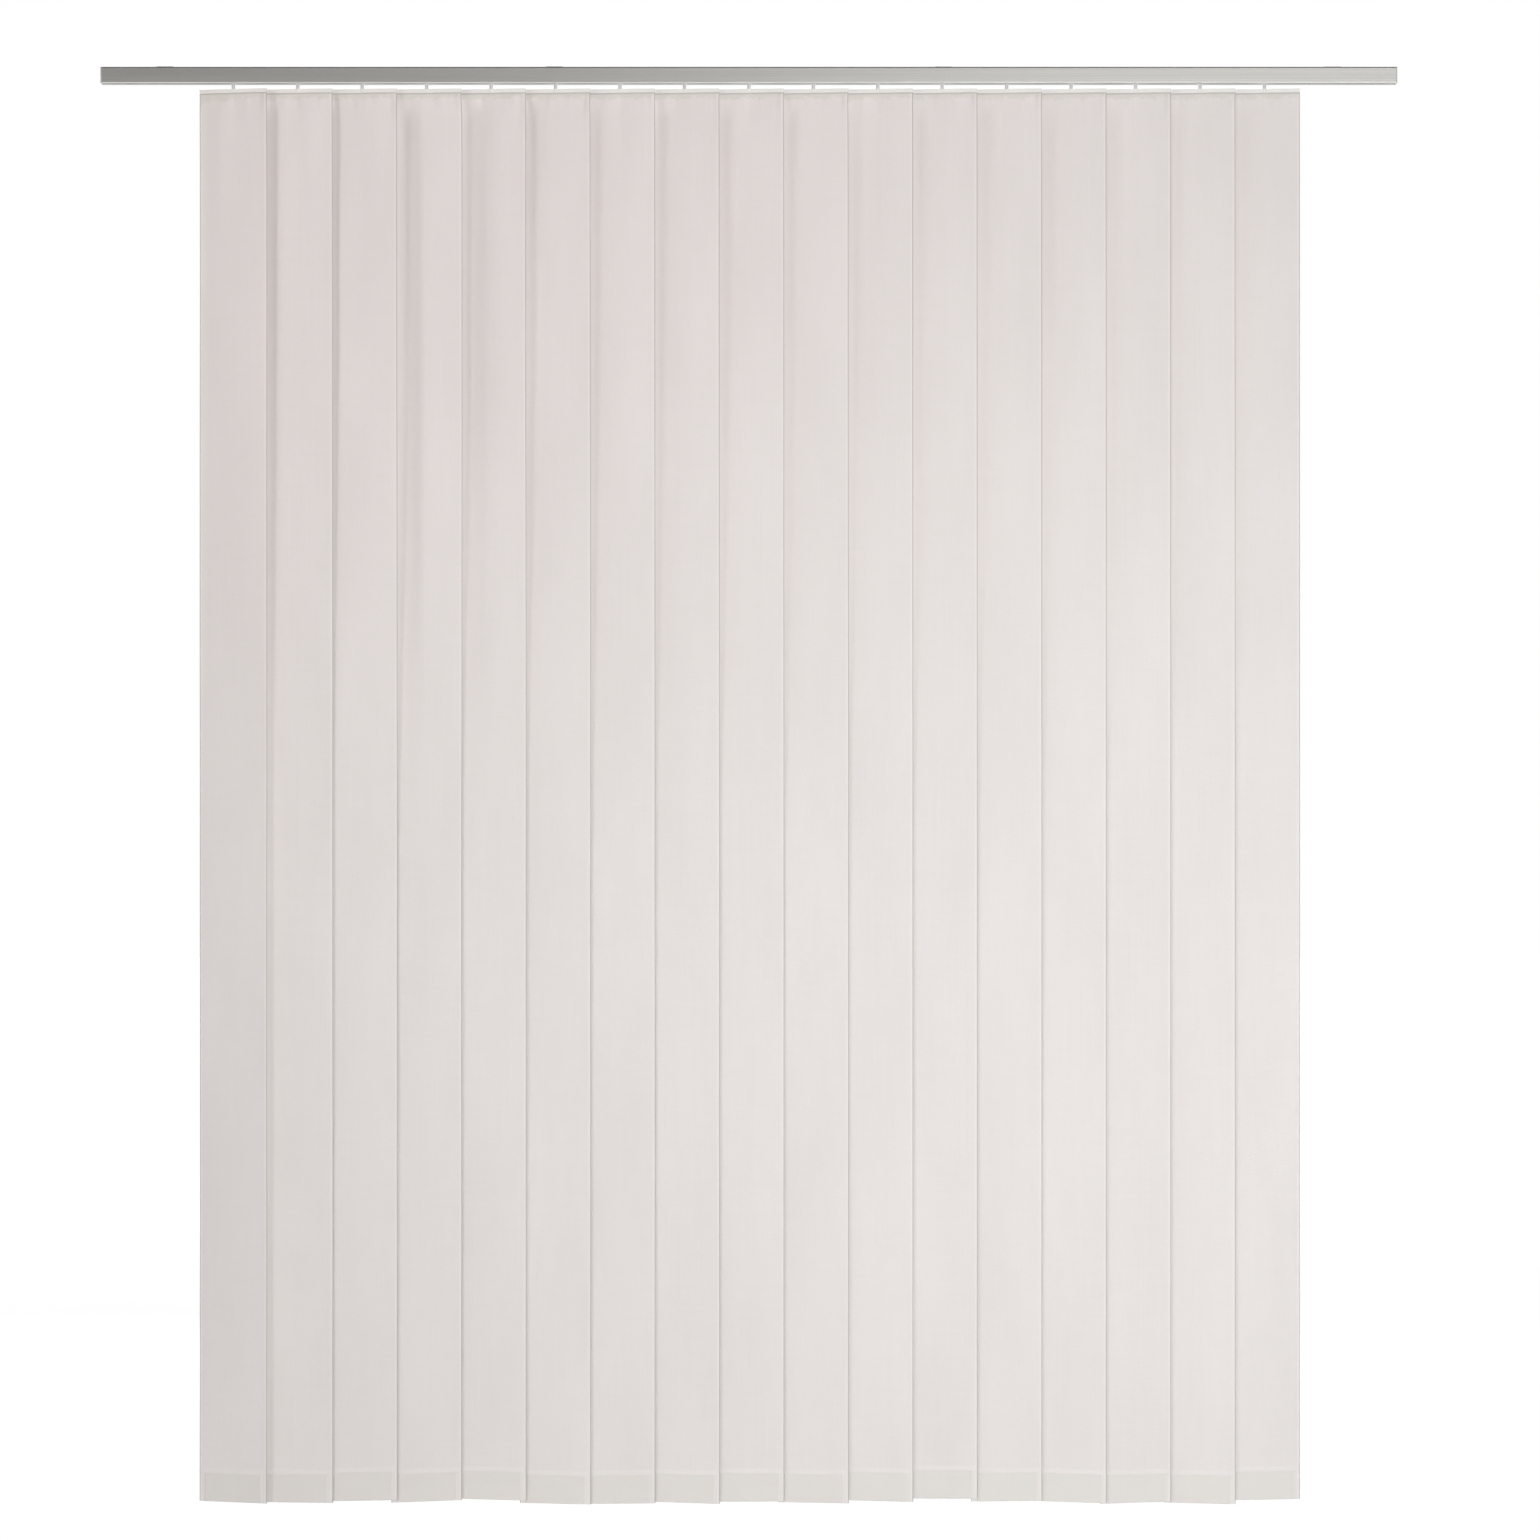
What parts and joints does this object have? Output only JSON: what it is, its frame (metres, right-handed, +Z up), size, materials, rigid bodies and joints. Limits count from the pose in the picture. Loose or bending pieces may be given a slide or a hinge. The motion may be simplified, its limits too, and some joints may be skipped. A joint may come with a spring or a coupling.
{
  "type": "vertical blind",
  "caption": "Vertical blind: a row of off-white fabric vanes with weighted hems on a slim ceiling rail; the vanes turn together and slide to one side.",
  "frame": {"origin": "on the ceiling, at the middle of the row of clip screws", "axes": "+X to the right along the rail, -Y into the room, +Z up"},
  "size_m": [2.33, 0.038, 2.581],
  "materials": {
    "rail_aluminium": "satin anodised extrusion with fine lines along its length",
    "end_cap_plastic": "moulded plastic in the rail's grey",
    "clip_steel": "zinc-plated steel",
    "rod_aluminium": "drawn aluminium, unpolished",
    "carrier_plastic": "moulded white plastic with steel spacer links",
    "hanger_plastic": "white, slightly clear plastic",
    "vane_fabric": "stiffened plain weave, off-white, matt"
  },
  "bodies": {
    "headrail": {"rail": "rail_aluminium", "end_cap_left": "end_cap_plastic", "end_cap_right": "end_cap_plastic", "ceiling_clips": "clip_steel"},
    "tilt_rod": {"tilt_rod": "rod_aluminium"},
    "carrier_01": {"carrier_01": "carrier_plastic"},
    "vane_01": {"hanger_01": "hanger_plastic", "vane_01": "vane_fabric"},
    "carrier_02": {"carrier_02": "carrier_plastic"},
    "vane_02": {"hanger_02": "hanger_plastic", "vane_02": "vane_fabric"},
    "carrier_03": {"carrier_03": "carrier_plastic"},
    "vane_03": {"hanger_03": "hanger_plastic", "vane_03": "vane_fabric"},
    "carrier_04": {"carrier_04": "carrier_plastic"},
    "vane_04": {"hanger_04": "hanger_plastic", "vane_04": "vane_fabric"},
    "carrier_05": {"carrier_05": "carrier_plastic"},
    "vane_05": {"hanger_05": "hanger_plastic", "vane_05": "vane_fabric"},
    "carrier_06": {"carrier_06": "carrier_plastic"},
    "vane_06": {"hanger_06": "hanger_plastic", "vane_06": "vane_fabric"},
    "carrier_07": {"carrier_07": "carrier_plastic"},
    "vane_07": {"hanger_07": "hanger_plastic", "vane_07": "vane_fabric"},
    "carrier_08": {"carrier_08": "carrier_plastic"},
    "vane_08": {"hanger_08": "hanger_plastic", "vane_08": "vane_fabric"},
    "carrier_09": {"carrier_09": "carrier_plastic"},
    "vane_09": {"hanger_09": "hanger_plastic", "vane_09": "vane_fabric"},
    "carrier_10": {"carrier_10": "carrier_plastic"},
    "vane_10": {"hanger_10": "hanger_plastic", "vane_10": "vane_fabric"},
    "carrier_11": {"carrier_11": "carrier_plastic"},
    "vane_11": {"hanger_11": "hanger_plastic", "vane_11": "vane_fabric"},
    "carrier_12": {"carrier_12": "carrier_plastic"},
    "vane_12": {"hanger_12": "hanger_plastic", "vane_12": "vane_fabric"},
    "carrier_13": {"carrier_13": "carrier_plastic"},
    "vane_13": {"hanger_13": "hanger_plastic", "vane_13": "vane_fabric"},
    "carrier_14": {"carrier_14": "carrier_plastic"},
    "vane_14": {"hanger_14": "hanger_plastic", "vane_14": "vane_fabric"},
    "carrier_15": {"carrier_15": "carrier_plastic"},
    "vane_15": {"hanger_15": "hanger_plastic", "vane_15": "vane_fabric"},
    "carrier_16": {"carrier_16": "carrier_plastic"},
    "vane_16": {"hanger_16": "hanger_plastic", "vane_16": "vane_fabric"},
    "carrier_17": {"carrier_17": "carrier_plastic"},
    "vane_17": {"hanger_17": "hanger_plastic", "vane_17": "vane_fabric"}
  },
  "joints": [
    {"name": "traverse_01", "type": "slide", "parent": "headrail", "child": "carrier_01", "axis": [-1, 0, 0], "range_m": [0, 0.144]},
    {"name": "tilt_01", "type": "hinge", "parent": "carrier_01", "child": "vane_01", "pos_m": [-0.928, 0, -0.0435], "axis": [0, 0, -1], "range_deg": [0, 159]},
    {"name": "traverse_02", "type": "slide", "parent": "headrail", "child": "carrier_02", "axis": [-1, 0, 0], "range_m": [0, 0.2235]},
    {"name": "tilt_02", "type": "hinge", "parent": "carrier_02", "child": "vane_02", "pos_m": [-0.812, 0, -0.0435], "axis": [0, 0, -1], "range_deg": [0, 159]},
    {"name": "traverse_03", "type": "slide", "parent": "headrail", "child": "carrier_03", "axis": [-1, 0, 0], "range_m": [0, 0.303]},
    {"name": "tilt_03", "type": "hinge", "parent": "carrier_03", "child": "vane_03", "pos_m": [-0.696, 0, -0.0435], "axis": [0, 0, -1], "range_deg": [0, 159]},
    {"name": "traverse_04", "type": "slide", "parent": "headrail", "child": "carrier_04", "axis": [-1, 0, 0], "range_m": [0, 0.3825]},
    {"name": "tilt_04", "type": "hinge", "parent": "carrier_04", "child": "vane_04", "pos_m": [-0.58, 0, -0.0435], "axis": [0, 0, -1], "range_deg": [0, 159]},
    {"name": "traverse_05", "type": "slide", "parent": "headrail", "child": "carrier_05", "axis": [-1, 0, 0], "range_m": [0, 0.462]},
    {"name": "tilt_05", "type": "hinge", "parent": "carrier_05", "child": "vane_05", "pos_m": [-0.464, 0, -0.0435], "axis": [0, 0, -1], "range_deg": [0, 159]},
    {"name": "traverse_06", "type": "slide", "parent": "headrail", "child": "carrier_06", "axis": [-1, 0, 0], "range_m": [0, 0.5415]},
    {"name": "tilt_06", "type": "hinge", "parent": "carrier_06", "child": "vane_06", "pos_m": [-0.348, 0, -0.0435], "axis": [0, 0, -1], "range_deg": [0, 159]},
    {"name": "traverse_07", "type": "slide", "parent": "headrail", "child": "carrier_07", "axis": [-1, 0, 0], "range_m": [0, 0.621]},
    {"name": "tilt_07", "type": "hinge", "parent": "carrier_07", "child": "vane_07", "pos_m": [-0.232, 0, -0.0435], "axis": [0, 0, -1], "range_deg": [0, 159]},
    {"name": "traverse_08", "type": "slide", "parent": "headrail", "child": "carrier_08", "axis": [-1, 0, 0], "range_m": [0, 0.7005]},
    {"name": "tilt_08", "type": "hinge", "parent": "carrier_08", "child": "vane_08", "pos_m": [-0.116, 0, -0.0435], "axis": [0, 0, -1], "range_deg": [0, 159]},
    {"name": "traverse_09", "type": "slide", "parent": "headrail", "child": "carrier_09", "axis": [-1, 0, 0], "range_m": [0, 0.78]},
    {"name": "tilt_09", "type": "hinge", "parent": "carrier_09", "child": "vane_09", "pos_m": [0, 0, -0.0435], "axis": [0, 0, -1], "range_deg": [0, 159]},
    {"name": "traverse_10", "type": "slide", "parent": "headrail", "child": "carrier_10", "axis": [-1, 0, 0], "range_m": [0, 0.8595]},
    {"name": "tilt_10", "type": "hinge", "parent": "carrier_10", "child": "vane_10", "pos_m": [0.116, 0, -0.0435], "axis": [0, 0, -1], "range_deg": [0, 159]},
    {"name": "traverse_11", "type": "slide", "parent": "headrail", "child": "carrier_11", "axis": [-1, 0, 0], "range_m": [0, 0.939]},
    {"name": "tilt_11", "type": "hinge", "parent": "carrier_11", "child": "vane_11", "pos_m": [0.232, 0, -0.0435], "axis": [0, 0, -1], "range_deg": [0, 159]},
    {"name": "traverse_12", "type": "slide", "parent": "headrail", "child": "carrier_12", "axis": [-1, 0, 0], "range_m": [0, 1.0185]},
    {"name": "tilt_12", "type": "hinge", "parent": "carrier_12", "child": "vane_12", "pos_m": [0.348, 0, -0.0435], "axis": [0, 0, -1], "range_deg": [0, 159]},
    {"name": "traverse_13", "type": "slide", "parent": "headrail", "child": "carrier_13", "axis": [-1, 0, 0], "range_m": [0, 1.098]},
    {"name": "tilt_13", "type": "hinge", "parent": "carrier_13", "child": "vane_13", "pos_m": [0.464, 0, -0.0435], "axis": [0, 0, -1], "range_deg": [0, 159]},
    {"name": "traverse_14", "type": "slide", "parent": "headrail", "child": "carrier_14", "axis": [-1, 0, 0], "range_m": [0, 1.1775]},
    {"name": "tilt_14", "type": "hinge", "parent": "carrier_14", "child": "vane_14", "pos_m": [0.58, 0, -0.0435], "axis": [0, 0, -1], "range_deg": [0, 159]},
    {"name": "traverse_15", "type": "slide", "parent": "headrail", "child": "carrier_15", "axis": [-1, 0, 0], "range_m": [0, 1.257]},
    {"name": "tilt_15", "type": "hinge", "parent": "carrier_15", "child": "vane_15", "pos_m": [0.696, 0, -0.0435], "axis": [0, 0, -1], "range_deg": [0, 159]},
    {"name": "traverse_16", "type": "slide", "parent": "headrail", "child": "carrier_16", "axis": [-1, 0, 0], "range_m": [0, 1.3365]},
    {"name": "tilt_16", "type": "hinge", "parent": "carrier_16", "child": "vane_16", "pos_m": [0.812, 0, -0.0435], "axis": [0, 0, -1], "range_deg": [0, 159]},
    {"name": "traverse", "type": "slide", "parent": "headrail", "child": "carrier_17", "axis": [-1, 0, 0], "range_m": [0, 1.416]},
    {"name": "tilt", "type": "hinge", "parent": "carrier_17", "child": "vane_17", "pos_m": [0.928, 0, -0.0435], "axis": [0, 0, -1], "range_deg": [0, 159]},
    {"name": "rod_turn", "type": "hinge", "parent": "headrail", "child": "tilt_rod", "pos_m": [0, 0.009, -0.01783], "axis": [1, 0, 0], "range_deg": [0, 636]}
  ],
  "couplings": [
    {"joint": "traverse_01", "follows": "traverse", "ratio": 0.10169},
    {"joint": "tilt_01", "follows": "tilt", "ratio": 1},
    {"joint": "traverse_02", "follows": "traverse", "ratio": 0.15784},
    {"joint": "tilt_02", "follows": "tilt", "ratio": 1},
    {"joint": "traverse_03", "follows": "traverse", "ratio": 0.21398},
    {"joint": "tilt_03", "follows": "tilt", "ratio": 1},
    {"joint": "traverse_04", "follows": "traverse", "ratio": 0.27013},
    {"joint": "tilt_04", "follows": "tilt", "ratio": 1},
    {"joint": "traverse_05", "follows": "traverse", "ratio": 0.32627},
    {"joint": "tilt_05", "follows": "tilt", "ratio": 1},
    {"joint": "traverse_06", "follows": "traverse", "ratio": 0.38242},
    {"joint": "tilt_06", "follows": "tilt", "ratio": 1},
    {"joint": "traverse_07", "follows": "traverse", "ratio": 0.43856},
    {"joint": "tilt_07", "follows": "tilt", "ratio": 1},
    {"joint": "traverse_08", "follows": "traverse", "ratio": 0.4947},
    {"joint": "tilt_08", "follows": "tilt", "ratio": 1},
    {"joint": "traverse_09", "follows": "traverse", "ratio": 0.55085},
    {"joint": "tilt_09", "follows": "tilt", "ratio": 1},
    {"joint": "traverse_10", "follows": "traverse", "ratio": 0.60699},
    {"joint": "tilt_10", "follows": "tilt", "ratio": 1},
    {"joint": "traverse_11", "follows": "traverse", "ratio": 0.66314},
    {"joint": "tilt_11", "follows": "tilt", "ratio": 1},
    {"joint": "traverse_12", "follows": "traverse", "ratio": 0.71928},
    {"joint": "tilt_12", "follows": "tilt", "ratio": 1},
    {"joint": "traverse_13", "follows": "traverse", "ratio": 0.77542},
    {"joint": "tilt_13", "follows": "tilt", "ratio": 1},
    {"joint": "traverse_14", "follows": "traverse", "ratio": 0.83157},
    {"joint": "tilt_14", "follows": "tilt", "ratio": 1},
    {"joint": "traverse_15", "follows": "traverse", "ratio": 0.88771},
    {"joint": "tilt_15", "follows": "tilt", "ratio": 1},
    {"joint": "traverse_16", "follows": "traverse", "ratio": 0.94386},
    {"joint": "tilt_16", "follows": "tilt", "ratio": 1},
    {"joint": "rod_turn", "follows": "tilt", "ratio": 4}
  ]
}
